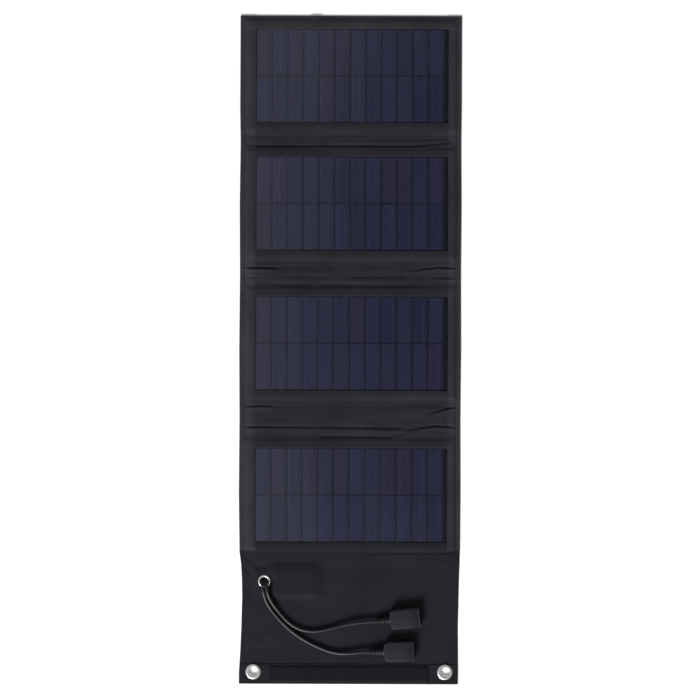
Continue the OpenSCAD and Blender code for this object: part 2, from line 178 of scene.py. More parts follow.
for which, route in lead_routes.items():
    line = bpy.data.curves.new(f"usb_lead_{which}_line", "CURVE")
    line.dimensions = "3D"
    line.bevel_depth = lead_d / 2
    line.bevel_resolution = 5
    line.resolution_u = 6
    line.use_fill_caps = True
    spline = line.splines.new("BEZIER")
    spline.bezier_points.add(len(route) - 1)
    for point, at in zip(spline.bezier_points, route):
        point.co = at
        point.handle_left_type = point.handle_right_type = "AUTO"
    line.materials.append(extruded_pvc)
    leads[which] = bpy.data.objects.new(f"lead_{which}", line)
    bpy.context.scene.collection.objects.link(leads[which])
    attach(leads[which], "flap")
    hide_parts(f"usb_lead_{which}")


# Strain reliefs and socket bodies
# Both are moulded over the lead's end in one shot of soft black PVC: a tapered relief with
# five ribs, and a body with two large corners at the cable end and a bevelled mouth.
def mesh_piece(name, points, faces, material, sharp=40):
    """A smooth-shaded object from points in mm, creased where faces meet past sharp degrees."""
    mesh = bpy.data.meshes.new(name)
    mesh.from_pydata((np.asarray(points, float) * MM).tolist(), [], faces)
    work = bmesh.new()
    work.from_mesh(mesh)
    bmesh.ops.recalc_face_normals(work, faces=work.faces)
    work.to_mesh(mesh)
    work.free()
    mesh.shade_smooth()
    mesh.set_sharp_from_angle(angle=math.radians(sharp))
    mesh.materials.append(material)
    made = bpy.data.objects.new(name, mesh)
    bpy.context.scene.collection.objects.link(made)
    return made


def skin(rings):
    """Points and faces of a closed skin through rings of equally many points."""
    rings = np.asarray(rings, float)
    count = rings.shape[1]
    faces = [
        tuple(k * count + m % count for k, m in ((i, j), (i, j + 1), (i + 1, j + 1), (i + 1, j)))
        for i in range(len(rings) - 1)
        for j in range(count)
    ]
    last = (len(rings) - 1) * count
    faces += [tuple(range(count - 1, -1, -1)), tuple(range(last, last + count))]
    return rings.reshape(-1, 3), faces


def rounded_ring(x, half_w, half_h, corner, per_corner=7):
    """A rounded rectangle across X, round the middle of the socket's mouth."""
    ring = []
    for quarter in range(4):
        turn = quarter * math.pi / 2
        side_y = 1 if quarter in (0, 3) else -1
        side_z = 1 if quarter in (0, 1) else -1
        for step in range(per_corner):
            angle = turn + step / (per_corner - 1) * math.pi / 2
            y = side_y * (half_w - corner) + corner * math.cos(angle)
            z = side_z * (half_h - corner) + corner * math.sin(angle)
            ring.append((x, y, z))
    return ring


def round_ring(x, radius, count=32):
    """A circle across X."""
    angles = [2 * math.pi * i / count for i in range(count)]
    return [(x, radius * math.cos(a), radius * math.sin(a)) for a in angles]


# Soft PVC, moulded: satin, with a fine spark-eroded texture from the mould
moulded_pvc, tree, shader = start_material("moulded_pvc", {"IOR": 1.5, "Specular IOR Level": 0.25})
place = add_node(tree, "ShaderNodeTexCoord")
grain = add_node(
    tree, "ShaderNodeTexNoise", {"Scale": 2200, "Detail": 3}, {"Vector": place.outputs["Object"]}
)
mottle(tree, shader, "#110f15", "#18161d", 90, 2)
vary_surface(tree, shader, grain.outputs["Fac"], gloss=(0.48, 0.66), relief=(0.25, 0.0001))

socket_l, socket_w, socket_h = 25, 16.8, 7.6
relief_l = 13
mouth_w, mouth_h = 13.2, 5.82
shell_l = 15
pocket_top = 1.2
socket_spots = {"lower": ((28.8, -249.9), 2), "upper": ((33.7, -223.6), 6)}


def at_socket(points, which):
    """Points drawn along +X from the body's cable end, moved to where that socket lies."""
    (x, y), yaw = socket_spots[which]
    c, s = math.cos(math.radians(yaw)), math.sin(math.radians(yaw))
    turned = np.asarray(points, float) @ np.array([[c, s, 0], [-s, c, 0], [0, 0, 1]])
    return turned + [x, y, pocket_top + socket_h / 2]


def body_half(x, half, corner):
    """Half a side of the body at x, drawn in by its cable-end corner."""
    inside = max(corner - x, 0)
    return half - corner + math.sqrt(corner**2 - inside**2)


for which in socket_spots:
    xs = [0.02, 0.15, 0.45, 0.9, 1.5, 2.3, 3.2, 4.2, 9, 16, 23.6]
    rings = [
        rounded_ring(x, body_half(x, socket_w / 2, 4.2), body_half(x, socket_h / 2, 1.5), 1.5)
        for x in xs
    ]
    # A raised lip round the mouth, bevelled on its outer edge
    rings += [
        rounded_ring(23.8, socket_w / 2 - 0.12, socket_h / 2 - 0.12, 1.4),
        rounded_ring(24.0, socket_w / 2, socket_h / 2, 1.5),
        rounded_ring(24.6, socket_w / 2, socket_h / 2, 1.5),
        rounded_ring(24.95, socket_w / 2 - 0.35, socket_h / 2 - 0.35, 1.2),
        rounded_ring(24.95, mouth_w / 2 + 0.25, mouth_h / 2 + 0.25, 0.5),
        rounded_ring(24.7, mouth_w / 2, mouth_h / 2, 0.3),
        rounded_ring(socket_l - shell_l, mouth_w / 2, mouth_h / 2, 0.3),
    ]
    points, faces = skin(rings)
    body = mesh_piece(f"moulded_socket_{which}", at_socket(points, which), faces, moulded_pvc)
    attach(body, "flap")
    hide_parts(f"socket_body_{which}")

    ribs = 5
    pitch = relief_l / (ribs + 0.6)
    rings = []
    for rib in range(ribs):
        start = -relief_l + rib * pitch
        grow = 2.15 + 1.25 * rib / ribs
        outline = [(0.02, -0.35), (0.14, -0.06), (0.35, 0), (1.35, 0.06), (1.58, 0), (1.7, -0.3)]
        rings += [round_ring(start + along, grow + out) for along, out in outline]
        rings += [round_ring(start + 1.78, grow - 0.62), round_ring(start + pitch - 0.04, grow - 0.55)]
    rings += [round_ring(-0.6 * pitch, 3.3), round_ring(0.3, 3.55)]
    points, faces = skin(rings)
    boot = mesh_piece(f"ribbed_relief_{which}", at_socket(points, which), faces, moulded_pvc)
    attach(boot, "flap")
    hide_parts(f"strain_relief_{which}")

# Inside of the sockets
# A shell folded from nickel-plated steel strip, a white glass-filled insulator with a tongue,
# and four gold-plated contacts along it, just as in any USB-A socket.
plated_steel, tree, shader = start_material(
    "nickel_plated_steel", {"Metallic": 1, "Base Color": srgb("#c9c8c4")},
)
place = add_node(tree, "ShaderNodeTexCoord")
drawn = add_node(
    tree, "ShaderNodeMapping", {"Scale": (60, 1500, 1500)}, {"Vector": place.outputs["Object"]}
)
rolling = add_node(tree, "ShaderNodeTexNoise", {"Scale": 1, "Detail": 2}, {"Vector": drawn.outputs[0]})
vary_surface(tree, shader, rolling.outputs["Fac"], gloss=(0.2, 0.38))

insulator, tree, shader = start_material("glass_filled_nylon", {"Roughness": 0.5})
mottle(tree, shader, "#d8d6cd", "#e9e7de", 1200, 3)

gold_plate, tree, shader = start_material("gold_plated_bronze", {"Metallic": 1, "Roughness": 0.28})
mottle(tree, shader, "#d9b25a", "#c79a45", 900, 2)


def dress(material, *nodes):
    """Gives CAD nodes, whose shape is right as it is, their material."""
    for name in nodes:
        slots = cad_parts[name].data.materials
        slots.clear()
        slots.append(material)


for which in socket_spots:
    dress(plated_steel, f"socket_shell_{which}")
    dress(insulator, f"socket_tongue_{which}")
    dress(gold_plate, f"socket_contacts_{which}")


for which, lead in leads.items():
    on_it = [f"ribbed_relief_{which}", f"moulded_socket_{which}"]
    on_it += [f"socket_{part}_{which}" for part in ("shell", "tongue", "contacts")]

# Boards, cells and ribbons
# Each panel is a black glass-fibre board with 24 strips of monocrystalline silicon on it, cut
# from square wafers and joined by tinned copper ribbon. The silicon is blue from its nitride.
sections = (1, 2, 3, 4)
lap = 4
windows = {}
for k in sections:
    low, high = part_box(f"panel_board_{k}")
    windows[k] = (low.y / MM + lap, high.y / MM - lap)
window_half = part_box("panel_board_1")[1].x / MM - lap
film_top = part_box("clear_film_1")[1].z / MM
cells_low, cells_high = (np.array(corner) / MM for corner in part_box("cells_1"))
cell_pitch_x = (cells_high[0] - cells_low[0] + 0.5) / 12

silicon, tree, shader = start_material(
    "monocrystalline_silicon", {"Roughness": 0.28, "Specular IOR Level": 0.9},
)
place = add_node(tree, "ShaderNodeTexCoord")
axes = add_node(tree, "ShaderNodeSeparateXYZ", {}, {0: place.outputs["Object"]})
# Which strip across, and which row down the charger, pick each strip's own tint
across = add_node(
    tree, "ShaderNodeMath", {"operation": "DIVIDE", 1: cell_pitch_x * MM}, {0: axes.outputs["X"]}
)
column = add_node(tree, "ShaderNodeMath", {"operation": "FLOOR"}, {0: across.outputs[0]})
row = None
row_gap = None
for y0, y1 in windows.values():
    away = add_node(
        tree, "ShaderNodeMath", {"operation": "SUBTRACT", 1: (y0 + y1) / 2 * MM}, {0: axes.outputs["Y"]}
    )
    away = add_node(tree, "ShaderNodeMath", {"operation": "ABSOLUTE"}, {0: away.outputs[0]})
    if row_gap is not None:
        away = add_node(
            tree, "ShaderNodeMath", {"operation": "MINIMUM"}, {0: away.outputs[0], 1: row_gap.outputs[0]}
        )
    row_gap = away
    for edge in (y0, (y0 + y1) / 2):
        above = add_node(
            tree, "ShaderNodeMath", {"operation": "GREATER_THAN", 1: edge * MM}, {0: axes.outputs["Y"]}
        )
        if row is not None:
            above = add_node(
                tree, "ShaderNodeMath", {"operation": "ADD"}, {0: above.outputs[0], 1: row.outputs[0]}
            )
        row = above
strip = add_node(tree, "ShaderNodeCombineXYZ", {}, {"X": column.outputs[0], "Y": row.outputs[0]})
lot = add_node(tree, "ShaderNodeTexWhiteNoise", {"noise_dimensions": "2D"}, {"Vector": strip.outputs[0]})
tints = add_node(tree, "ShaderNodeValToRGB", {}, {"Fac": lot.outputs["Value"]})
tints.color_ramp.elements[0].color = srgb("#1b1c3a")
tints.color_ramp.elements[1].color = srgb("#241e3a")
for position, code in ((0.35, "#1e1e42"), (0.55, "#202642"), (0.8, "#242240")):
    tints.color_ramp.elements.new(position).color = srgb(code)
# Fine streaks along each strip, from the saw and the printed fingers
stretch = add_node(
    tree, "ShaderNodeMapping", {"Scale": (520, 4, 1)}, {"Vector": place.outputs["Object"]}
)
streaks = add_node(tree, "ShaderNodeTexNoise", {"Scale": 1, "Detail": 0}, {"Vector": stretch.outputs[0]})
streaked = add_node(
    tree, "ShaderNodeMapRange", {"From Min": 0.3, "From Max": 0.7, "To Min": 0.86, "To Max": 1.16},
    {"Value": streaks.outputs["Fac"]},
)
# Each strip is darker along its right edge, which is painted shade, a shadow line along that edge,
# and at the end where its two rows meet
part = add_node(tree, "ShaderNodeMath", {"operation": "FRACT"}, {0: across.outputs[0]})
# Painted shade: a shadow line along each strip's right edge
painted_edge_shadow = add_node(
    tree, "ShaderNodeMapRange", {"From Min": 0.82, "From Max": 0.9, "To Min": 1, "To Max": 0.5},
    {"Value": part.outputs[0]},
)
end_dark = add_node(
    tree, "ShaderNodeMapRange", {"From Min": 0.0006, "From Max": 0.0015, "To Min": 0.45, "To Max": 1},
    {"Value": row_gap.outputs[0]},
)
level = streaked
for darker in (painted_edge_shadow, end_dark):
    level = add_node(
        tree, "ShaderNodeMath", {"operation": "MULTIPLY"}, {0: level.outputs[0], 1: darker.outputs[0]}
    )
shade = add_node(
    tree, "ShaderNodeVectorMath", {"operation": "SCALE"},
    {0: tints.outputs["Color"], "Scale": level.outputs[0]},
)
tree.links.new(shade.outputs[0], shader.inputs["Base Color"])

tinned_ribbon, tree, shader = start_material(
    "tinned_copper_ribbon", {"Specular IOR Level": 0.2, "Roughness": 0.45},
)
mottle(tree, shader, "#25273f", "#2e304c", 500, 2)

glass_fibre, tree, shader = start_material(
    "black_glass_fibre_board", {"Roughness": 0.5, "Specular IOR Level": 0.2},
)
mottle(tree, shader, "#06070f", "#0c0e1a", 700, 3)

for k in sections:
    dress(silicon, f"cells_{k}")
    dress(tinned_ribbon, f"tab_ribbons_{k}")
    dress(glass_fibre, f"panel_board_{k}")

# Clear film
# The cells are sealed under clear polyester film, pressed on hot, 0.7 mm thick with its glue;
# the part of it above the ribbons is drawn. It is glossy but not flat: the press leaves long
# shallow waves over the cells.
laminated_film, tree, shader = start_material(
    "laminated_polyester_film",
    {"Base Color": srgb("#10131f"), "Alpha": 0.15, "IOR": 1.8, "Specular IOR Level": 1},
)
place = add_node(tree, "ShaderNodeTexCoord")
haze = add_node(
    tree, "ShaderNodeTexNoise", {"Scale": 60, "Detail": 2}, {"Vector": place.outputs["Object"]}
)
vary_surface(tree, shader, haze.outputs["Fac"], gloss=(0.12, 0.2))


def ease(t):
    """0 to 1 with a smooth start and end."""
    t = np.clip(t, 0, 1)
    return t * t * (3 - 2 * t)


def lines(a, b, step, fine=(), reach=2.4, fine_step=0.4):
    """Places from a to b about step apart, and closer together round each place in fine."""
    found = list(np.linspace(a, b, max(2, round(abs(b - a) / step) + 1)))
    for at in fine:
        found += list(np.arange(at - reach, at + reach + 0.01, fine_step))
    found = sorted(x for x in found if min(a, b) <= x <= max(a, b))
    kept = [found[0]]
    for x in found[1:]:
        if x - kept[-1] > fine_step * 0.6:
            kept.append(x)
    kept[-1] = max(a, b)
    return np.array(kept)


def layered(xs, ys, top, bottom, keep=None, warp=None):
    """Points and faces of a closed layer over a grid in mm, from bottom(x, y) to top(x, y).
    keep(x, y) is false where the layer is cut away."""
    x, y = np.meshgrid(xs, ys)
    wx = x if warp is None else warp(x, y)
    upper = np.stack([wx, y, top(x, y)], -1).reshape(-1, 3)
    lower = np.stack([wx, y, bottom(x, y)], -1).reshape(-1, 3)
    rows, cols = len(ys), len(xs)
    total = rows * cols
    mx, my = np.meshgrid((xs[1:] + xs[:-1]) / 2, (ys[1:] + ys[:-1]) / 2)
    kept = np.ones(mx.shape, bool) if keep is None else keep(mx, my)
    a = np.arange(total).reshape(rows, cols)
    corners = [a[:-1, :-1], a[:-1, 1:], a[1:, 1:], a[1:, :-1]]
    quads = np.stack(corners, -1)[kept]
    faces = [tuple(q) for q in quads.tolist()]
    faces += [tuple(q) for q in (quads[:, ::-1] + total).tolist()]
    padded = np.pad(kept, 1)
    sides = ((0, 1, (0, -1)), (1, 2, (1, 0)), (2, 3, (0, 1)), (3, 0, (-1, 0)))
    for start, end, (dx, dy) in sides:
        if (dx, dy) == (0, -1):
            open_side = ~padded[:-2, 1:-1]
        elif (dx, dy) == (1, 0):
            open_side = ~padded[1:-1, 2:]
        elif (dx, dy) == (0, 1):
            open_side = ~padded[2:, 1:-1]
        else:
            open_side = ~padded[1:-1, :-2]
        rim = kept & open_side
        for p, q in zip(corners[start][rim].tolist(), corners[end][rim].tolist()):
            faces.append((q, p, p + total, q + total))
    points = np.concatenate([upper, lower])
    used = np.unique([i for face in faces for i in face])
    renumber = np.full(len(points), -1)
    renumber[used] = np.arange(len(used))
    return points[used], [tuple(renumber[list(face)].tolist()) for face in faces]


film_drawn = 0.32
tilts = np.random.RandomState(7).uniform(-0.005, 0.005, (len(sections) + 1, 12))
for k in sections:
    y0, y1 = windows[k]

    def film_upper(x, y):
        at = np.clip(x / cell_pitch_x, -5.99, 5.99)
        inside = at - np.floor(at) - 0.5
        lean = tilts[k][np.floor(at).astype(int) + 6] * inside * cell_pitch_x
        gap = (0.5 - np.abs(inside)) * cell_pitch_x
        dips = 0.025 * np.exp(-((gap / 0.9) ** 2)) + 0.02 * np.exp(-(((y - (y0 + y1) / 2) / 1.1) ** 2))
        return film_top - 0.05 + 0.02 * np.sin(x / 17 + k) * np.sin(y / 11 + 2 * k) + lean * 0.8 - dips

    points, faces = layered(
        lines(-window_half - lap, window_half + lap, 0.65), lines(y0 - lap, y1 + lap, 1.6),
        film_upper, lambda x, y: np.full_like(x, film_top - film_drawn),
    )
    film = mesh_piece(f"film_{k}", points, faces, laminated_film)
    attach(film, f"section_{k}")
    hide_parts(f"clear_film_{k}")

# Slack of the cloth
# The cloth between the panels is cut longer than the gap it crosses and sewn down along its
# edges, so it lies in folds. It is settled by simulation, a hundred times as large, and each
# layer of the cover then takes its wrinkles from that one result.
settle_frames = 24
fold_seams = {12: (177.2, 166.4), 23: (68.5, 60.2), 34: (-47.3, -63.5)}
half_w = cad_box[1][0] / MM
top_y = cad_box[1][1] / MM
hem_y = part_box("flap_front")[0].y / MM


def crease_height(x, y, crease):
    """Height of one crease: a groove with a soft ridge on its lower side, along a segment."""
    (ax, ay), (bx, by), depth, width = crease
    length = math.hypot(bx - ax, by - ay)
    along = ((x - ax) * (bx - ax) + (y - ay) * (by - ay)) / length
    across = ((x - ax) * (by - ay) - (y - ay) * (bx - ax)) / length
    fade = ease((along + 6) / 12) * ease((length + 6 - along) / 12)
    groove = -depth * np.exp(-((across / width) ** 2))
    ridge = 0.75 * depth * np.exp(-(((across - 1.9 * width) / (1.5 * width)) ** 2))
    return fade * (groove + ridge)


# Creases: the two ends of each, then its depth and half width, all in mm
creases = {
    12: [((-78, 169.2), (58, 169.4), 1.2, 0.8), ((56, 169.5), (90, 173.4), 1.2, 0.8),
         ((-92, 166.0), (-76, 166.4), 0.8, 0.8), ((-10, 174.6), (80, 175.4), 0.35, 1.0),
         ((-76, 183.0), (-20, 184.0), 0.4, 1.8)],
    23: [((-92, 68.6), (-62, 67.8), 1.1, 0.8), ((50, 66.4), (74, 69.0), 0.9, 0.8),
         ((72, 69.0), (92, 68.4), 1.1, 0.8), ((-60, 61.6), (-16, 61.0), 0.3, 1.6),
         ((2, 61.2), (44, 61.4), 0.5, 1.6), ((70, 60.6), (92, 60.6), 0.9, 1.0),
         ((-66, 54.2), (66, 53.4), 0.6, 1.7), ((-24, 73.2), (-14, 68.4), 0.3, 1.6)],
    34: [((-92, -46.2), (-64, -46.6), 0.9, 0.8), ((40, -45.6), (70, -45.8), 0.3, 1.2),
         ((64, -53.0), (78, -49.0), 0.8, 0.9), ((76, -49.4), (92, -45.2), 1.3, 0.8),
         ((-92, -64.0), (-70, -63.8), 0.8, 0.9), ((-70, -63.6), (46, -64.8), 0.7, 1.0),
         ((46, -66.2), (70, -62.6), 0.9, 0.9), ((70, -62.6), (92, -63.6), 1.0, 0.9),
         ((-26, -71.6), (34, -72.0), 0.8, 1.3), ((32, -72.0), (54, -66.4), 0.5, 1.4),
         ((-70, -57.0), (-20, -58.2), 0.3, 2.0)],
    45: [((-52, -204.4), (-30, -204.2), 0.9, 0.9), ((-4, -221.5), (84, -202.0), 0.55, 1.8),
         ((-88, -170.5), (-73, -185.5), 0.5, 1.5), ((-90, -181.0), (-80, -189.0), 0.5, 1.4),
         ((-86, -202.0), (-76, -200.0), 0.5, 1.2), ((-88, -214.0), (-74, -206.0), 0.4, 1.8),
         ((20, -168.6), (88, -168.0), 0.5, 1.0), ((-84, -236.0), (-50, -248.0), 0.3, 3.0)],
}


def settle(y0, y1, step, slack, seed, seams, raised):
    """Heights in mm of a cloth sewn down along its edges and seams, on a grid of places."""
    xs = np.linspace(-half_w, half_w, round(2 * half_w / step) + 1)
    ys = np.linspace(y0, y1, round((y1 - y0) / step) + 1)
    x, y = np.meshgrid(xs, ys)
    edge = ease(np.minimum.reduce([x + half_w, half_w - x, (y - y0) * 2, (y1 - y) * 2]) / 10)
    chance = np.random.RandomState(seed)
    z = np.zeros_like(x)
    for _ in range(34):
        cx, cy = chance.uniform(-85, 85), chance.uniform(y0, y1)
        wide, tall = chance.uniform(14, 46), chance.uniform(2.5, 6)
        tilt = chance.uniform(-0.12, 0.12)
        bump = np.exp(-(((x - cx) / wide) ** 2) - (((y - cy - tilt * (x - cx)) / tall) ** 2))
        z += chance.uniform(-0.55, 0.65) * bump
    z = z * edge + raised(x, y) * edge
    per_mm = 0.1
    mesh = bpy.data.meshes.new("slack")
    count = len(xs)
    quads = [
        (r * count + c, r * count + c + 1, (r + 1) * count + c + 1, (r + 1) * count + c)
        for r in range(len(ys) - 1)
        for c in range(count - 1)
    ]
    middle = (y0 + y1) / 2
    start = np.stack([x, y - middle, z], -1).reshape(-1, 3) * per_mm
    mesh.from_pydata(start.tolist(), [], quads)
    piece = bpy.data.objects.new("slack", mesh)
    bpy.context.scene.collection.objects.link(piece)
    piece.shape_key_add(name="sewn")
    cut = piece.shape_key_add(name="cut")
    flat = np.stack([x * (1 + slack / 2), (y - middle) * (1 + slack), 0 * z], -1) * per_mm
    cut.data.foreach_set("co", flat.astype(np.float32).ravel())
    held = piece.vertex_groups.new(name="held")
    border = (edge <= 0.001).ravel()
    on_seam = np.zeros(x.shape, bool)
    for seam in seams:
        on_seam |= np.abs(y - seam) < step * 0.5
    held.add(np.nonzero(border)[0].tolist(), 1, "REPLACE")
    held.add(np.nonzero(on_seam.ravel() & ~border)[0].tolist(), 0.6, "REPLACE")
    cloth = piece.modifiers.new("cloth", "CLOTH")
    cloth.settings.rest_shape_key = cut
    cloth.settings.vertex_group_mass = "held"
    cloth.settings.quality = 6
    cloth.settings.mass = 0.4
    cloth.settings.tension_stiffness = cloth.settings.compression_stiffness = 25
    cloth.settings.shear_stiffness = 12
    cloth.settings.bending_stiffness = 2.5
    cloth.settings.air_damping = 4
    cloth.settings.effector_weights.gravity = 0
    cloth.collision_settings.use_collision = False
    cloth.point_cache.frame_end = settle_frames
    scene = bpy.context.scene
    for number in range(1, settle_frames + 1):
        scene.frame_set(number)
    result = piece.evaluated_get(bpy.context.evaluated_depsgraph_get()).to_mesh()
    co = np.zeros(len(result.vertices) * 3, np.float32)
    result.vertices.foreach_get("co", co)
    bpy.data.objects.remove(piece)
    scene.frame_set(1)
    heights = co.reshape(-1, 3)[:, 2].reshape(x.shape) / per_mm
    return xs, ys, np.clip(heights, -0.8, 1.0)


wrinkles = []
for number, seams in fold_seams.items():
    upper, lower = number // 10, number % 10
    y0, y1 = windows[lower][1] + 2.5, windows[upper][0] - 2.5
    wrinkles.append(settle(
        y0, y1, 1.5, 0.03, number, seams,
        lambda x, y, n=number: 0.5 * sum(crease_height(x, y, c) for c in creases[n]),
    ))
wrinkles.append(settle(hem_y + 2, windows[4][0] - 3, 3.2, 0.004, 5, (), lambda x, y: 0 * x))


def sampled(x, y, field):
    """A settled height field read between its grid places; 0 outside it."""
    xs, ys, z = field
    fx = np.clip((x - xs[0]) / (xs[1] - xs[0]), 0, len(xs) - 1.001)
    fy = np.clip((y - ys[0]) / (ys[1] - ys[0]), 0, len(ys) - 1.001)
    ix, iy = fx.astype(int), fy.astype(int)
    tx, ty = fx - ix, fy - iy
    near = z[iy, ix] * (1 - tx) + z[iy, ix + 1] * tx
    far = z[iy + 1, ix] * (1 - tx) + z[iy + 1, ix + 1] * tx
    return (near * (1 - ty) + far * ty) * ((y >= ys[0]) & (y <= ys[-1]))


# Cover cloth
# The cover is black 600-denier polyester, coated on its back. Bands of it are sewn between the
# panels, a pocket of it makes the flap, and the back is one length. It is level over each board
# and drops off the board's edge to the back cloth.
side_level = 0.6
film_level = film_top
# Inside edges of what the pocket rises over, its height, and the run-out below and beside it
rises = [((-77, -62), (-199.5, -185), 1.35, 6, 6), ((-59.5, -33.5), (-203, -186), 2.85, 4, 15)]


def hump(x, y, rise):
    (x0, x1), (y0, y1), height, below, beside = rise
    across = ease((x - x0 + beside) / beside) * ease((x1 + beside - x) / beside)
    return height * across * ease((y - y0 + below) / below) * ease((y1 + beside - y) / beside)


def low_level(x, y):
    """Height that the cover lies at away from the boards: on the wires, or on the back cloth."""
    side = 1 - ease((np.abs(x) - 80) / 10)
    fold = side * (1 - ease((y - 271) / 5)) * ease((y + 186) / 14)
    raised = np.maximum.reduce([0.8 * fold] + [hump(x, y, r) for r in rises])
    return side_level + raised


def over_board(x, y):
    """1 over the boards, easing to 0 within 6 mm outside them."""
    cover = np.zeros_like(x, dtype=float)
    for y0, y1 in windows.values():
        outside = np.maximum.reduce([y0 - lap - y, y - y1 - lap, np.abs(x) - window_half - lap])
        cover = np.maximum(cover, 1 - ease(outside / 6))
    return cover


pocket_seam = -167.5
seam_rows = [y for pair in fold_seams.values() for y in pair] + [pocket_seam]


def keep_low(x, y):
    """1 where the leads and sockets lie, which the pocket stays flat under."""
    near = np.zeros_like(x, dtype=float)
    for which, route in lead_routes.items():
        for px, py, _ in route[4:]:
            near = np.maximum(near, 1 - ease((np.hypot(x - px / MM, y - py / MM) - 7) / 9))
        (sx, sy), yaw = socket_spots[which]
        for along in (-10, 0, 8, 16, 24):
            near = np.maximum(near, 1 - ease((np.hypot(x - sx - along, y - sy - along * 0.07) - 11) / 9))
    return near


def support(x, y):
    """Underside of the cover cloth in mm, with its wrinkles, seams and puckers."""
    low = low_level(x, y)
    cover = over_board(x, y)
    z = low + (film_level - low) * cover
    soft = 1 - cover
    for (number, rows), field in zip(fold_seams.items(), wrinkles):
        inside = (y > field[1][0]) & (y < field[1][-1])
        made = sampled(x, y, field) * 0.9
        made = made + sum(crease_height(x, y, c) for c in creases[number]) * inside * 0.6
        z = z + soft * made * (1 - 0.6 * ease((np.abs(x) - 84) / 8))
    flap = sampled(x, y, wrinkles[-1]) + sum(crease_height(x, y, c) for c in creases[45])
    flap = flap * (y < -165)
    z = z + soft * np.where(flap > 0, flap * (1 - keep_low(x, y)), flap * 0.5)
    for row in seam_rows:
        near = np.abs(y - row)
        strip = ease((np.abs(x) - 77) / 3)
        z = z - soft * (0.2 + 0.5 * strip) * np.exp(-((near / 0.75) ** 2))
        pucker = 0.1 * np.sin(x / 1.25 + 1.3 * np.sin(x / 7.7 + row)) * np.exp(-near / 2.6)
        z = z + soft * pucker
    over_wires = 0.68 * ease((6 - np.abs(x + 29.1)) / 3) * (y > -186)
    return np.maximum(z, side_level + 0.02 + over_wires)


def sides(x, y):
    """Pulls the cover's outer edge in or out to its cut, which is waisted below the panels."""
    rows = [-277.5, -268, -250, -230, -205, -190, -178, -168, -120, -57, 0, 63, 120, 172, 200, 277.5]
    left = [91.4, 91.4, 90.3, 89.5, 88.9, 89.2, 89.9, 91.2, 91.9, 91.6, 92.0, 91.6, 92.0, 91.4, 91.9, 91.8]
    right = [90.4, 90.5, 90.4, 90.2, 90.7, 91.0, 91.4, 91.7, 91.9, 91.6, 92.0, 91.7, 92.0, 91.6, 91.9, 91.9]
    edge = np.where(x < 0, np.interp(y, rows, left), np.interp(y, rows, right))
    pull = ease((np.abs(x) - 62) / (half_w - 62))
    return x + np.sign(x) * (edge - half_w) * pull


def rolled(distance, radius):
    """0 at a turned edge, rising to 1 at radius inside it, as a quarter round."""
    t = np.clip(distance / radius, 0, 1)
    return np.sqrt(1 - (1 - t) ** 2)


# Polyester yarns, plain woven: matte black with a slight purple cast. The real yarns are
# 0.5 mm apart; they are drawn 1.5 mm apart so that the weave just shows
def woven(name, dark, light, pitch_mm, height, fuzz):
    made, tree, shader = start_material(name, {
        "Roughness": 0.82, "Specular IOR Level": 0.16, "Sheen Weight": fuzz, "Sheen Roughness": 0.45,
    })
    place = add_node(tree, "ShaderNodeTexCoord")
    axes = add_node(tree, "ShaderNodeSeparateXYZ", {}, {0: place.outputs["Object"]})
    waves = []
    for axis in ("X", "Y"):
        turns = add_node(
            tree, "ShaderNodeMath", {"operation": "MULTIPLY", 1: 2 * math.pi / (pitch_mm * MM)},
            {0: axes.outputs[axis]},
        )
        waves.append(add_node(tree, "ShaderNodeMath", {"operation": "SINE"}, {0: turns.outputs[0]}))
    over = add_node(
        tree, "ShaderNodeMath", {"operation": "MULTIPLY"},
        {0: waves[0].outputs[0], 1: waves[1].outputs[0]},
    )
    slubs, rub = (
        add_node(
            tree, "ShaderNodeTexNoise", {"Scale": scale, "Detail": detail},
            {"Vector": place.outputs["Object"]},
        )
        for scale, detail in ((950, 2), (28, 3))
    )
    yarn = add_node(
        tree, "ShaderNodeMath", {"operation": "MULTIPLY_ADD", 1: 0.22},
        {0: over.outputs[0], 2: slubs.outputs["Fac"]},
    )
    share = add_node(
        tree, "ShaderNodeMath", {"operation": "MULTIPLY_ADD", 1: 0.5},
        {0: yarn.outputs[0], 2: rub.outputs["Fac"]},
    )
    share = add_node(
        tree, "ShaderNodeMapRange", {"From Min": 0.45, "From Max": 1.05}, {"Value": share.outputs[0]}
    )
    tint = add_node(
        tree, "ShaderNodeMix", {"data_type": "RGBA", "A": srgb(dark), "B": srgb(light)},
        {"Factor": share.outputs[0]},
    )
    tree.links.new(tint.outputs["Result"], shader.inputs["Base Color"])
    vary_surface(tree, shader, yarn.outputs[0], relief=(0.5, height))
    return made


oxford = woven("oxford_polyester", "#17151b", "#24212a", 1.5, 0.00012, 0.04)
pocket_cloth = woven("taffeta_polyester", "#121016", "#1c1922", 1.3, 0.0001, 0.03)
binding = woven("polyester_binding", "#201f24", "#2e2d33", 1.1, 0.0001, 0.05)


def across_fold(piece, number):
    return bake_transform(piece)


cloth_t = 0.35
band_half = window_half + 2.2
for number, seams in fold_seams.items():
    upper, lower = number // 10, number % 10
    y0, y1 = windows[lower][1], windows[upper][0]

    def band_top(x, y):
        edge = np.minimum(y - y0, y1 - y)
        return support(x, y) + cloth_t * (0.25 + 0.75 * rolled(edge, 0.8))

    points, faces = layered(
        lines(-band_half, band_half, 1.5),
        lines(y0, y1, 0.9, fine=[*seams, y0, y1], reach=2, fine_step=0.3),
        band_top, support, warp=sides,
    )
    band = mesh_piece(f"fold_band_{number}", points, faces, oxford, sharp=70)
    across_fold(band, number)
    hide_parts(f"hinge_cloth_{number}")

# Pocket
# The flap's front is a pocket of the same cloth, sewn on below panel 4, down both sides and
# into the hem. It rises over the regulator inside and round the lead eyelet.
eyelet_at = (-70.5, -192.1)
pocket_y0, pocket_y1 = hem_y - 0.5, windows[4][0]


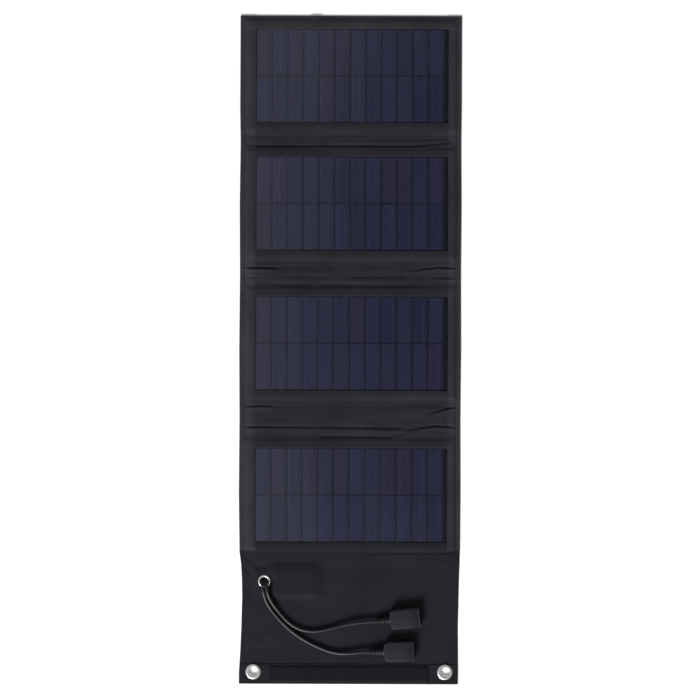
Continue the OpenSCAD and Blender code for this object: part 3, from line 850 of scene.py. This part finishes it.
def pocket_top_z(x, y):
    edge = np.minimum(pocket_y1 - y, (half_w - np.abs(x)) * 1.4)
    thick = cloth_t + 0.15 * ease((-165 - y) / 4)
    near_eyelet = 1 - ease((np.hypot(x - eyelet_at[0], y - eyelet_at[1]) - 5) / 5)
    pressed = np.minimum(support(x, y), 1.95) * near_eyelet + support(x, y) * (1 - near_eyelet)
    return pressed + thick * (0.2 + 0.8 * rolled(edge, 1.0))


points, faces = layered(
    lines(-half_w, half_w, 1.5, fine=[-half_w, half_w, eyelet_at[0]], reach=5.6, fine_step=0.6),
    lines(pocket_y0, pocket_y1, 1.5, fine=[pocket_seam, eyelet_at[1], pocket_y1], reach=5.6, fine_step=0.6),
    pocket_top_z, lambda x, y: pocket_top_z(x, y) - cloth_t,
    keep=lambda x, y: np.hypot(x - eyelet_at[0], y - eyelet_at[1]) > 4.3, warp=sides,
)
pocket = mesh_piece("pocket_front", points, faces, pocket_cloth, sharp=70)
across_fold(pocket, 45)
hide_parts("hinge_cloth_flap", "flap_front")

# Side strips and top border
# The long raw edges are closed with a 12 mm strip of the same cloth, folded in at both edges
# and topstitched. The border above panel 1 is a wider strip sewn over their ends.
strip_in = {-1: 78.6, 1: 81.3}
strip_out = half_w
strip_ends = -166.3
middles = {k: sum(windows[k]) / 2 for k in sections}
strip_runs = {
    12: (top_y - 0.6, middles[2]), 23: (middles[2], middles[3]), 34: (middles[3], middles[4]),
    44: (middles[4], strip_ends),
}


def strip_piece(name, side, y1, y0):
    inner = strip_in[side]

    def top(x, y):
        reach = np.minimum(np.abs(x) - inner, strip_out - np.abs(x))
        ends = (y - y0) if y0 == strip_ends else np.full_like(x, 9.0)
        sewn_in = sum(np.exp(-(((np.abs(x) - row) / 0.55) ** 2)) for row in strip_rows(side))
        inward = 0.5 * (1 - rolled(np.abs(x) - inner, 1.6))
        edge = 0.3 * (1 - rolled(np.minimum(reach, ends), 0.6))
        return support(x, y) + 0.66 - np.minimum(inward + edge, 0.56) - 0.26 * sewn_in

    def bottom(x, y):
        inward = ease((np.abs(x) - inner) / 1.6) * (1 - ease((np.abs(x) - 85) / 5))
        return support(x, y) + 0.05 + 0.2 * inward

    xs = lines(inner, strip_out, 1.1, fine=[inner, strip_out, *strip_rows(side)], reach=1.2, fine_step=0.22)
    fine = [y for y in seam_rows if y0 < y < y1] + ([y0] if y0 == strip_ends else [])
    points, faces = layered(
        xs if side > 0 else -xs[::-1],
        lines(y0, y1, 1.3, fine=fine, reach=2, fine_step=0.35), top, bottom, warp=sides,
    )
    return mesh_piece(name, points, faces, binding, sharp=70)


def strip_rows(side):
    """Distances from the middle of the two rows of topstitching on a side strip."""
    return strip_in[side] + 1.7, strip_out - 3.8


for side, word in ((-1, "left"), (1, "right")):
    for number, (y1, y0) in strip_runs.items():
        strip = strip_piece(f"strip_{word}_{number}", side, y1, y0)
        if number == 44:
            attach(strip, "section_4")
        else:
            across_fold(strip, number)
        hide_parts(f"front_frame_{number // 10}")

border_y0 = windows[1][1]


def border_top(x, y):
    edge = np.minimum.reduce([y - border_y0, (top_y - y) * 1.2, (half_w - np.abs(x)) * 1.2])
    over_strip = 0.3 * ease((np.abs(x) - window_half + 1.5) / 1.5)
    return np.minimum(support(x, y) + 0.32 + over_strip, 3.2) + 0.4 * rolled(edge, 0.9) - 0.15


def border_bottom(x, y):
    return np.minimum(support(x, y) + 0.05, border_top(x, y) - 0.12)


points, faces = layered(
    lines(-half_w, half_w, 1.6, fine=[-half_w, half_w], reach=1.2, fine_step=0.25),
    lines(border_y0, top_y, 1.1, fine=[border_y0, top_y], reach=1.2, fine_step=0.25),
    border_top, border_bottom, warp=sides,
)
border = mesh_piece("top_border", points, faces, binding, sharp=70)
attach(border, "section_1")
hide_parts("front_frame_1")

# Back
# The back is one length of the same cloth from end to end. It lies flat, but for the shallow
# draw of the fold seams.
back_runs = {
    12: (top_y - 0.3, middles[2]), 23: (middles[2], middles[3]), 34: (middles[3], middles[4]),
    45: (middles[4], hem_y),
}
loop_low, loop_high = (np.array(corner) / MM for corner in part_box("loop_strip"))


def back_bottom(x, y):
    z = np.zeros_like(x)
    for row in seam_rows:
        z = z + 0.28 * np.exp(-(((y - row) / 0.9) ** 2))
    bed = (np.abs(x) < loop_high[0]) & (y > loop_low[1]) & (y < loop_high[1])
    edge = np.minimum(half_w - np.abs(x), 9)
    return np.where(bed, loop_high[2] - 0.02, z) + 0.25 * (1 - rolled(edge, 0.8))


def back_top(x, y):
    edge = np.minimum(half_w - np.abs(x), 9)
    return 0.3 + 0.28 * rolled(edge, 0.8) + 0 * y


fine_x = [-half_w, half_w, loop_low[0], loop_high[0]]
for number, (y1, y0) in back_runs.items():
    fine_y = [y for y in [*seam_rows, loop_low[1], loop_high[1]] if y0 < y < y1]
    points, faces = layered(
        lines(-half_w, half_w, 2.4, fine=fine_x, reach=1, fine_step=0.3),
        lines(y0, y1, 1.6, fine=fine_y, reach=1.6, fine_step=0.35), back_top, back_bottom, warp=sides,
    )
    back = mesh_piece(f"back_length_{number}", points, faces, oxford, sharp=70)
    across_fold(back, number)
    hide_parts("flap_back" if number == 45 else f"back_cover_{number // 10}")
    if number == 34:
        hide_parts("back_cover_4")

# Hem and closure
# The flap's end is turned up twice and sewn flat, with a strip of woven nylon hook tape on its
# front. The loop tape it closes on is sewn to the back of section 3.
nylon_hooks, tree, shader = start_material(
    "nylon_hook_tape", {"Roughness": 0.75, "Specular IOR Level": 0.08},
)
place = add_node(tree, "ShaderNodeTexCoord")
hooks = add_node(
    tree, "ShaderNodeTexVoronoi", {"Scale": 620, "Randomness": 0.35}, {"Vector": place.outputs["Object"]}
)
tint = add_node(
    tree, "ShaderNodeMix", {"data_type": "RGBA", "A": srgb("#17161b"), "B": srgb("#0c0b10")},
    {"Factor": hooks.outputs["Distance"]},
)
tree.links.new(tint.outputs["Result"], shader.inputs["Base Color"])
vary_surface(tree, shader, hooks.outputs["Distance"], relief=(0.6, 0.0005))

nylon_loops, tree, shader = start_material("nylon_loop_tape", {"Roughness": 0.9, "Sheen Weight": 0.3})
pile = mottle(tree, shader, "#19181b", "#2c2b30", 800, 4)
vary_surface(tree, shader, pile.outputs["Fac"], relief=(0.8, 0.0004))

hem_top_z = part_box("hem_band")[1].z / MM
end_y = -top_y
hang_at = [(side * 79.5, -267.3) for side in (-1, 1)]
washer_bed = 6.2


def from_eyelets(x, y):
    return np.minimum.reduce([np.hypot(x - ex, y - ey) for ex, ey in hang_at])


def hem_top(x, y):
    edge = np.minimum.reduce([y - end_y, half_w - np.abs(x), hem_y - y])
    waves = 0.06 * np.sin(x / 4.1) * np.sin(y / 3 + x / 19)
    pressed = 0.35 * (1 - ease((from_eyelets(x, y) - washer_bed) / 3.5))
    pressed = pressed * (from_eyelets(x, y) >= washer_bed)
    return 0.85 + (hem_top_z - 0.95) * rolled(edge, 1.1) + waves - pressed


def hem_bottom(x, y):
    edge = np.minimum.reduce([y - end_y, half_w - np.abs(x)])
    flat = 0.45 * (1 - rolled(edge, 0.9))
    return np.maximum(flat, 0.6 * (from_eyelets(x, y) < 6.5))


fine_x = [-half_w, half_w] + [ex for ex, _ in hang_at]
points, faces = layered(
    lines(-half_w, half_w, 1.8, fine=fine_x, reach=7.4, fine_step=0.45),
    lines(end_y, hem_y, 0.8, fine=[end_y, hem_y], reach=1.4, fine_step=0.25),
    hem_top, hem_bottom, keep=lambda x, y: from_eyelets(x, y) > 4.6, warp=sides,
)
hem = mesh_piece("hem", points, faces, pocket_cloth, sharp=70)
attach(hem, "flap")
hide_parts("hem_band")

hook_low, hook_high = (np.array(corner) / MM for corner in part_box("hook_strip"))


def hook_top(x, y):
    edge = np.minimum.reduce([x - hook_low[0], hook_high[0] - x, y - hook_low[1], hook_high[1] - y])
    tufts = 0.11 * np.sin(x * 2.1) * np.sin(y * 2.1)
    return hook_low[2] - 0.05 + (0.25 + 0.45 * ease(edge / 1.6)) + tufts * ease((edge - 1) / 1)


points, faces = layered(
    lines(hook_low[0], hook_high[0], 0.75), lines(hook_low[1], hook_high[1], 0.75),
    hook_top, lambda x, y: np.full_like(x, hook_low[2] - 0.12),
)
hook_tape = mesh_piece("hook_tape", points, faces, nylon_hooks, sharp=80)
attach(hook_tape, "flap")
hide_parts("hook_strip")


def loop_bottom(x, y):
    edge = np.minimum.reduce([x - loop_low[0], loop_high[0] - x, y - loop_low[1], loop_high[1] - y])
    pile = 0.05 * np.sin(x * 1.7 + 2 * np.sin(y)) * np.sin(y * 1.9 + 2 * np.sin(x * 0.7))
    return 0.08 + pile * ease(edge) + 0.15 * (1 - ease(edge / 1.2))


points, faces = layered(
    lines(loop_low[0] + 0.2, loop_high[0] - 0.2, 0.9), lines(loop_low[1] + 0.2, loop_high[1] - 0.2, 0.9),
    lambda x, y: np.full_like(x, loop_high[2] - 0.04), loop_bottom,
)
loop_tape = mesh_piece("loop_tape", points, faces, nylon_loops, sharp=80)
across_fold(loop_tape, 34)
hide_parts("loop_strip")

# Stitching
# Everything is lockstitched in black bonded polyester thread, about eight stitches to the inch.
# Each stitch is a short raised arch of thread that dips into the cloth at both ends.
thread, tree, shader = start_material(
    "bonded_polyester_thread", {"Roughness": 0.6, "Specular IOR Level": 0.15},
)
mottle(tree, shader, "#121114", "#201f25", 2600, 1)

stitch_pitch, stitch_l, thread_r = 3.1, 2.3, 0.22
border_run, row_end = 12, 88.5


def stitches(rows, surface):
    """Points and faces of the stitches along straight rows, lying on surface(x, y)."""
    points, faces = [], []
    arch = np.array([(-0.5, -0.22), (-0.36, 0.06), (0, 0.14), (0.36, 0.06), (0.5, -0.22)])
    angles = np.arange(6) / 6 * 2 * math.pi
    for (ax, ay), (bx, by) in rows:
        length = math.hypot(bx - ax, by - ay)
        ux, uy = (bx - ax) / length, (by - ay) / length
        for number in range(int(length // stitch_pitch)):
            at = (number + 0.5) * stitch_pitch
            cx, cy = ax + ux * at, ay + uy * at
            px = cx + ux * arch[:, 0] * stitch_l
            py = cy + uy * arch[:, 0] * stitch_l
            pz = surface(px, py) + arch[:, 1]
            wx = sides(px, py)
            first = len(points)
            for i in range(5):
                for a in angles:
                    points.append((
                        wx[i] - uy * thread_r * math.cos(a), py[i] + ux * thread_r * math.cos(a),
                        pz[i] + thread_r * 0.7 * math.sin(a),
                    ))
            for i in range(4):
                for j in range(6):
                    beside = ((i, j), (i, (j + 1) % 6), (i + 1, (j + 1) % 6), (i + 1, j))
                    faces.append(tuple(first + k * 6 + m for k, m in beside))
            faces.append(tuple(range(first + 5, first - 1, -1)))
            faces.append(tuple(range(first + 24, first + 30)))
    return points, faces


def joined(shapes):
    """Points and faces of several shapes as one shape."""
    points, faces = [], []
    for more, more_faces in shapes:
        faces += [tuple(i + len(points) for i in face) for face in more_faces]
        points += list(more)
    return points, faces


def thread_piece(name, shape):
    made = mesh_piece(name, *shape, thread, sharp=80)
    return made


def band_surface(x, y):
    return support(x, y) + cloth_t


def strip_surface(x, y):
    return support(x, y) + 0.44


for number, seams in fold_seams.items():
    upper, lower = number // 10, number % 10
    y1, y0 = strip_runs[number]
    w0, w1 = windows[lower][1], windows[upper][0]
    rows = [((0.6 - strip_in[-1], y), (strip_in[1] - 0.6, y)) for y in (w0 + 2.2, w1 - 2.2, *seams)]
    # The border covers the top end of the first strips
    y1 -= border_run * (number == 12)
    side_rows = [((s * x, y1), (s * x, y0)) for s in (-1, 1) for x in strip_rows(s)]
    side_rows += [((s * (strip_in[s] + 0.8), y), (s * (half_w - 0.8), y)) for s in (-1, 1) for y in seams]
    shape = joined([stitches(rows, band_surface), stitches(side_rows, strip_surface)])
    across_fold(thread_piece(f"stitching_{number}", shape), number)

rows = [((-row_end, y), (row_end, y)) for y in (border_y0 + 2, top_y - 3)]
shape = stitches(rows, lambda x, y: border_top(x, y) - 0.12)
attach(thread_piece("stitching_border", shape), "section_1")

rows = [((s * x, middles[4]), (s * x, strip_ends + 1)) for s in (-1, 1) for x in strip_rows(s)]
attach(thread_piece("stitching_44", stitches(rows, strip_surface)), "section_4")

rows = [((-78.5, pocket_y1 - 2.2), (78.5, pocket_y1 - 2.2))]
rows += [((-79, pocket_seam), (79, pocket_seam))]
rows += [((s * (half_w - 3), pocket_seam - 1.5), (s * (half_w - 3), hem_y + 1)) for s in (-1, 1)]
across_fold(thread_piece("stitching_45", stitches(rows, pocket_top_z)), 45)

rows = [((-row_end, hem_y - 1.6), (row_end, hem_y - 1.6)), ((-71, end_y + 1.8), (71, end_y + 1.8))]
hook_rows = [
    ((hook_low[0] + 0.9, y), (hook_high[0] - 0.9, y)) for y in (hook_low[1] + 0.8, hook_high[1] - 0.8)
]
shape = joined([stitches(rows, hem_top), stitches(hook_rows, hook_top)])
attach(thread_piece("stitching_hem", shape), "flap")

# Eyelets
# Pressed brass, nickel plated: a barrel with a domed flange, set through the cloth into a flat
# washer behind. Bright, with fine press marks round the dome.
nickel_brass, tree, shader = start_material("nickel_plated_brass", {"Metallic": 1})
marks = mottle(tree, shader, "#eeedeb", "#d8d7d6", 700, 3)
vary_surface(tree, shader, marks.outputs["Fac"], gloss=(0.22, 0.4), relief=(0.15, 0.0002))


def turned(outline, at, count=64):
    """Points and faces of a ring turned about an upright axis, from a closed outline."""
    angles = [2 * math.pi * i / count for i in range(count)]
    points = [
        (at[0] + r * math.cos(a), at[1] + r * math.sin(a), z) for a in angles for r, z in outline
    ]
    n = len(outline)
    faces = [
        tuple(k % count * n + m % n for k, m in ((i, j), (i + 1, j), (i + 1, j + 1), (i, j + 1)))
        for i in range(count)
        for j in range(n)
    ]
    return points, faces


def eyelet_outline(hole, flange, foot, seat, dome):
    """Closed section of an eyelet: barrel from foot up, dome over the cloth, rim at seat."""
    mid, half = (hole + flange) / 2, (flange - hole) / 2
    over = np.linspace(0, math.pi, 19)
    arch = [(mid + half * math.cos(a), seat + 0.2 + dome * math.sin(a)) for a in over]
    inside = [(hole, z) for z in np.linspace(seat, foot, 3)]
    foot_in = [(hole + 0.12, foot), (hole + 0.38, foot), (hole + 0.38, seat - 0.1)]
    under = [(hole + 0.6, seat + 0.05), (flange - 0.5, seat - 0.02), (flange - 0.1, seat - 0.02)]
    return arch + inside + foot_in + under


def eyelet(name, node, washer_node, at, hole, flange, foot, seat, dome, washer_t):
    r0, r1 = hole + 0.42, flange
    washer_outline = [
        (r0, foot + 0.02), (r0 + 0.3, foot), (r1 - 0.35, foot), (r1, foot + 0.2),
        (r1, foot + washer_t - 0.05), (r1 - 0.2, foot + washer_t), (r0, foot + washer_t),
    ]
    outlines = {
        (name, node): eyelet_outline(hole, flange, foot, seat, dome),
        (f"{name}_washers", washer_node): washer_outline,
    }
    for (piece_name, stands_for), outline in outlines.items():
        points, faces = joined([turned(outline, spot) for spot in at])
        ring = mesh_piece(piece_name, points, faces, nickel_brass, sharp=50)
        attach(ring, "flap")
        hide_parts(stands_for)


lead_eye_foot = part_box("lead_eyelet")[0].z / MM
hang_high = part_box("hanging_eyelets")[1].z / MM
eyelet(
    "hanging_rings", "hanging_eyelets", "hanging_eyelet_washers", hang_at, 3.2, 6.4,
    0, hem_top_z, hang_high - hem_top_z - 0.2, 0.58,
)
eyelet(
    "lead_ring", "lead_eyelet", "lead_eyelet_washer", [eyelet_at], 3.4, 5.2,
    lead_eye_foot, lead_eye_foot + 1.0, 0.6, 0.38,
)

# Wires
# Flat two-core wire in dark red silicone joins the panels through the folds. It lies between
# the two cloth layers.
silicone, tree, shader = start_material("silicone_wire_insulation", {"Roughness": 0.45})
mottle(tree, shader, "#5a0f12", "#7b1d1c", 500, 2)

wire_spots = (-30.4, -27.8)
half_wide, half_thick, wire_z = 0.75, 0.2, 0.96
wire_nodes = {12: "link_wires_12", 23: "link_wires_23", 34: "link_wires_34", 45: "link_wires_flap"}
for number, node in wire_nodes.items():
    low, high = (np.array(corner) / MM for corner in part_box(node))
    cores = []
    for spot in wire_spots:
        rings = [
            [
                (spot + half_wide * math.cos(a), y, wire_z + half_thick * math.sin(a))
                for a in np.arange(10) * math.pi / 5
            ]
            for y in lines(low[1], high[1], 1.2)
        ]
        cores.append(skin(rings))
    wire = mesh_piece(f"flat_wires_{number}", *joined(cores), silicone)
    across_fold(wire, number)
    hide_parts(node)
dress(silicone, "feed_wires", "lead_cores")

# Regulator
# A small step-down board in the pocket: green solder mask, a shielded ferrite coil, a black
# epoxy chip and ceramic capacitors, all in a black heat-shrink sleeve.
solder_mask, tree, shader = start_material("green_solder_mask", {"Roughness": 0.3})
place = add_node(tree, "ShaderNodeTexCoord")
tracks = add_node(tree, "ShaderNodeTexBrick", {"Scale": 260}, {"Vector": place.outputs["Object"]})
for socket_name, code in (("Color1", "#0d4423"), ("Color2", "#115330"), ("Mortar", "#1d6b3f")):
    tracks.inputs[socket_name].default_value = srgb(code)
tree.links.new(tracks.outputs["Color"], shader.inputs["Base Color"])

parts = {
    "ferrite_and_epoxy": ("#26262a", "#34343a", 0.6, ("regulator_coil", "regulator_chip")),
    "ceramic": ("#9c7f5a", "#b3946b", 0.5, ("regulator_capacitors",)),
    "shrunk_polyolefin": ("#121214", "#1c1c20", 0.4, ("regulator_sleeve",)),
}
for name, (dark, light, rough, nodes) in parts.items():
    made, tree, shader = start_material(name, {"Roughness": rough})
    mottle(tree, shader, dark, light, 900, 2)
    dress(made, *nodes)
dress(solder_mask, "regulator_board")

# Floor and light
# A plain white floor, an even white surround, and one large softbox low on the left, towards
# the flap, which lays the shadows up and to the right.
white_paint, tree, shader = start_material(
    "matte_white_paint", {"Base Color": srgb("#f4f4f4"), "Roughness": 0.9, "Specular IOR Level": 0.1},
)
reach = 4000
corners = [(-reach, -reach, -0.02), (reach, -reach, -0.02), (reach, reach, -0.02), (-reach, reach, -0.02)]
floor = mesh_piece("floor", corners, [(0, 1, 2, 3)], white_paint)

world = bpy.data.worlds.new("surround")
bpy.context.scene.world = world
world.use_nodes = True
world.node_tree.nodes["Background"].inputs["Color"].default_value = (1, 1, 1, 1)
world.node_tree.nodes["Background"].inputs["Strength"].default_value = 0.42

key = bpy.data.lights.new("key", "AREA")
key.size = 2.2
key.energy = 560
softbox = bpy.data.objects.new("key", key)
softbox.location = (-2.2, -4.4, 3.44)
softbox.rotation_euler = (-softbox.location).to_track_quat("-Z", "Y").to_euler()
bpy.context.scene.collection.objects.link(softbox)

# A black card over the camera, cut so that only the left ends of the panels mirror what is
# bright beside it
velvet, tree, shader = start_material(
    "black_velvet", {"Base Color": srgb("#0a0a0a"), "Roughness": 1, "Specular IOR Level": 0},
)
card_outline = [(-40, -500), (-110, 0), (-90, 320), (60, 800), (600, 800), (600, -500)]
card = mesh_piece("card", [(x, y, 2300) for x, y in card_outline], [tuple(range(6))], velvet)
